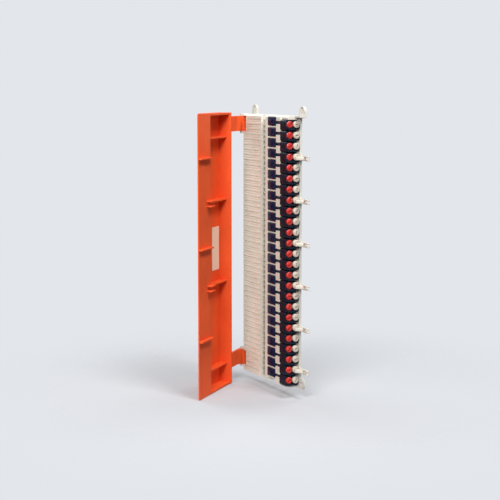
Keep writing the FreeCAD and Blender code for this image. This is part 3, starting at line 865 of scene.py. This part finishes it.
class LINEBLOCK_OT_base(Operator):
    """Dress the mounting base, the slit face, the jack comb and the terminal ribs"""
    bl_idname = "line_block.base"
    bl_label = "Base Mouldings"

    def execute(self, context):
        mould = context.scene.line_block.mould
        # The slit face and the jack comb take the beige with painted light, paler and less red than the
        # base's own beige.
        mouldings = (("mounting_base", "base_moulding", mould.base_edge, "moulded_beige"),
                     ("fanning_strip", "slit_face", mould.slit_edge, "front_beige"),
                     ("jack_frame", "jack_comb", mould.frame_edge, "front_beige"),
                     ("terminal_bed", "terminal_ribs", mould.frame_edge, "moulded_beige"))
        for node, name, radius, finish in mouldings:
            made = merged_copy(node, name)
            dress(made, finish, radius)
            settle(made, "block", "beige_plastic", node)
        return {"FINISHED"}


class LINEBLOCK_OT_clips(Operator):
    """Stand the forked wire clips along the groove"""
    bl_idname = "line_block.clips"
    bl_label = "Wire Clips"

    def execute(self, context):
        sizes = context.scene.line_block.field
        start = spot(0.0, 0.0, CLIP_Z)
        unit = unit_at("clip_unit", start, lambda shape: draw_clip(shape, sizes))
        clips = set_row("wire_clips", {"Piece": unit}, start, "tinned_metal", CLIPS, CLIP_PITCH)
        settle(clips, "block", "clip_metal", "quick_clips")
        return {"FINISHED"}


class LINEBLOCK_OT_plugs(Operator):
    """Seat a plug in each line"""
    bl_idname = "line_block.plugs"
    bl_label = "Line Plugs"

    def execute(self, context):
        sizes = context.scene.line_block.plug
        start = spot(0.0, 0.0, PLUG_Z)
        unit = unit_at("plug_unit", start, lambda shape: draw_plug(shape, sizes))
        plugs = set_row("line_plugs", {"Piece": unit}, start, "smoky_plug")
        settle(plugs, "block", "plug_plastic", *PLUGS)
        return {"FINISHED"}


class LINEBLOCK_OT_leads(Operator):
    """Run a short lead from each plug to its terminal block"""
    bl_idname = "line_block.leads"
    bl_label = "Plug Leads"

    def execute(self, context):
        sizes = context.scene.line_block.plug
        start = spot(middle("plug_leads", "x"), LEAD_DEPTH, LEAD_Z)
        sources = {"Route": lead_route(sizes), "Section": lead_section(sizes)}
        leads = set_row("plug_lead_runs", sources, start, "lead_sheath",
                        wander=(0.0, sizes.wander, sizes.wander), seed=sizes.seed)
        settle(leads, "block", "lead_sheath", "plug_leads")
        return {"FINISHED"}


class LINEBLOCK_OT_terminals(Operator):
    """Set the terminal blocks and their two screws in a column"""
    bl_idname = "line_block.terminals"
    bl_label = "Terminal Blocks"

    def execute(self, context):
        sizes = context.scene.line_block.terminal
        start = spot(0.0, 0.0, block_z(sizes))
        unit = unit_at("block_unit", start, lambda shape: draw_block(shape, sizes))
        blocks = set_row("terminal_blocks", {"Piece": unit}, start, "terminal_black")
        settle(blocks, "block", "black_plastic", *STRIPS)
        for row in SCREW_ROWS:
            depth = middle(row["node"], "depth")
            radius, reach = in_mm(sizes, row["size"] + "_radius", row["size"] + "_reach")
            unit = slotted_head(row["name"] + "_unit", depth, radius, reach, row["slot_reach"], sizes)
            heads = set_row(row["name"], {"Piece": unit}, spot(BLOCK_RIGHT, depth, SCREW_Z), row["finish"],
                            wander=(row["spread"], 0.0, 0.0), seed=row["seed"])
            settle(heads, "block", row["slot"], row["node"])
        return {"FINISHED"}


class LINEBLOCK_OT_guides(Operator):
    """Set the forked wire guides along the right-hand lip"""
    bl_idname = "line_block.guides"
    bl_label = "Wire Guides"

    def execute(self, context):
        sizes = context.scene.line_block.field
        start = spot(0.0, 0.0, guide_z(sizes))
        unit = unit_at("guide_unit", start, lambda shape: draw_guide(shape, sizes))
        guides = set_row("wire_guide_forks", {"Piece": unit}, start, "guide_white", LINES // LINES_PER_GUIDE,
                         LINES_PER_GUIDE * PITCH)
        settle(guides, "block", "guide_plastic", "wire_guides")
        return {"FINISHED"}


class LINEBLOCK_OT_cover(Operator):
    """Mould the hinged cover in one piece and finish its bare label"""
    bl_idname = "line_block.cover"
    bl_label = "Hinged Cover"

    def execute(self, context):
        mould = context.scene.line_block.mould
        nodes = ("cover_panel", "cover_strip", "cover_spine")
        shell = merged_copy(nodes[0], "cover_moulding")
        for node in nodes[1:]:
            boolean(shell, merged_copy(node, "cover_tool"), "UNION")
        tidy_mesh(shell.data)
        dress(shell, "cover_orange", mould.cover_edge)
        settle(shell, "cover", "cover_plastic", *nodes)
        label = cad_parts["cover_label"]
        label.material_slots[0].material = find_finish("label_card")
        return {"FINISHED"}


class LINEBLOCK_OT_stage(Operator):
    """Set the pale floor, the soft lights and the camera"""
    bl_idname = "line_block.stage"
    bl_label = "Stage"

    def execute(self, context):
        scene = context.scene
        stage = scene.line_block.stage
        scene.view_settings.view_transform = "Standard"
        floor = mesh_object("pale_floor", lambda shape: bmesh.ops.create_circle(
            shape, cap_ends=True, segments=FLOOR_SIDES, radius=FLOOR_RADIUS))
        floor.data.transform(Matrix.Translation((0.0, 0.0, CAD_BOX[0].z - FLOOR_DROP)))
        floor.data.materials.append(floor_material(stage))
        scene.world = world_light(stage)
        centre = (CAD_BOX[0] + CAD_BOX[1]) / 2
        for name, place, size in LAMPS:
            light = bpy.data.lights.new(name + "_light", "AREA")
            light.energy = getattr(stage, name)
            light.size = size
            aim(new_object(name + "_light", light), place, centre - Vector(place))
        camera = bpy.data.cameras.new("camera")
        camera.lens = stage.lens
        camera.sensor_width = SENSOR_WIDTH
        camera.clip_start = CLIP_START
        view = new_object("camera", camera)
        aim(view, CAMERA_PLACE, Vector(CAMERA_LOOK))
        scene.camera = view
        return {"FINISHED"}


GROUPS = (PlugSizes, TerminalSizes, FieldSizes, MouldSizes, FinishColours, StageSizes)
OPERATORS = (LINEBLOCK_OT_base, LINEBLOCK_OT_clips, LINEBLOCK_OT_plugs, LINEBLOCK_OT_leads,
             LINEBLOCK_OT_terminals, LINEBLOCK_OT_guides, LINEBLOCK_OT_cover, LINEBLOCK_OT_stage)


class LINEBLOCK_PT_panel(Panel):
    """Lists the steps that dress the block and their settings"""
    bl_idname = "LINEBLOCK_PT_panel"
    bl_label = "Line Interface Block"
    bl_space_type = "VIEW_3D"
    bl_region_type = "UI"
    bl_category = "Line Block"

    def draw(self, context):
        for operator in OPERATORS:
            self.layout.operator(operator.bl_idname)
        settings = context.scene.line_block
        for group in (settings.plug, settings.terminal, settings.field, settings.mould, settings.finish,
                      settings.stage):
            column = self.layout.column(align=True)
            for name in group.__annotations__:
                column.prop(group, name)


CLASSES = (*GROUPS, LineBlockSettings, *OPERATORS, LINEBLOCK_PT_panel)


def register():
    """Register the classes and give the scene its settings."""
    for each in CLASSES:
        bpy.utils.register_class(each)
    bpy.types.Scene.line_block = PointerProperty(type=LineBlockSettings)


def unregister():
    """Take the settings from the scene and drop the classes."""
    del bpy.types.Scene.line_block
    for each in reversed(CLASSES):
        bpy.utils.unregister_class(each)


def main():
    """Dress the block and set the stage."""
    register()
    bpy.ops.line_block.base()
    bpy.ops.line_block.clips()
    bpy.ops.line_block.plugs()
    bpy.ops.line_block.leads()
    bpy.ops.line_block.terminals()
    bpy.ops.line_block.guides()
    bpy.ops.line_block.cover()
    bpy.ops.line_block.stage()


if __name__ == "__main__":
    main()
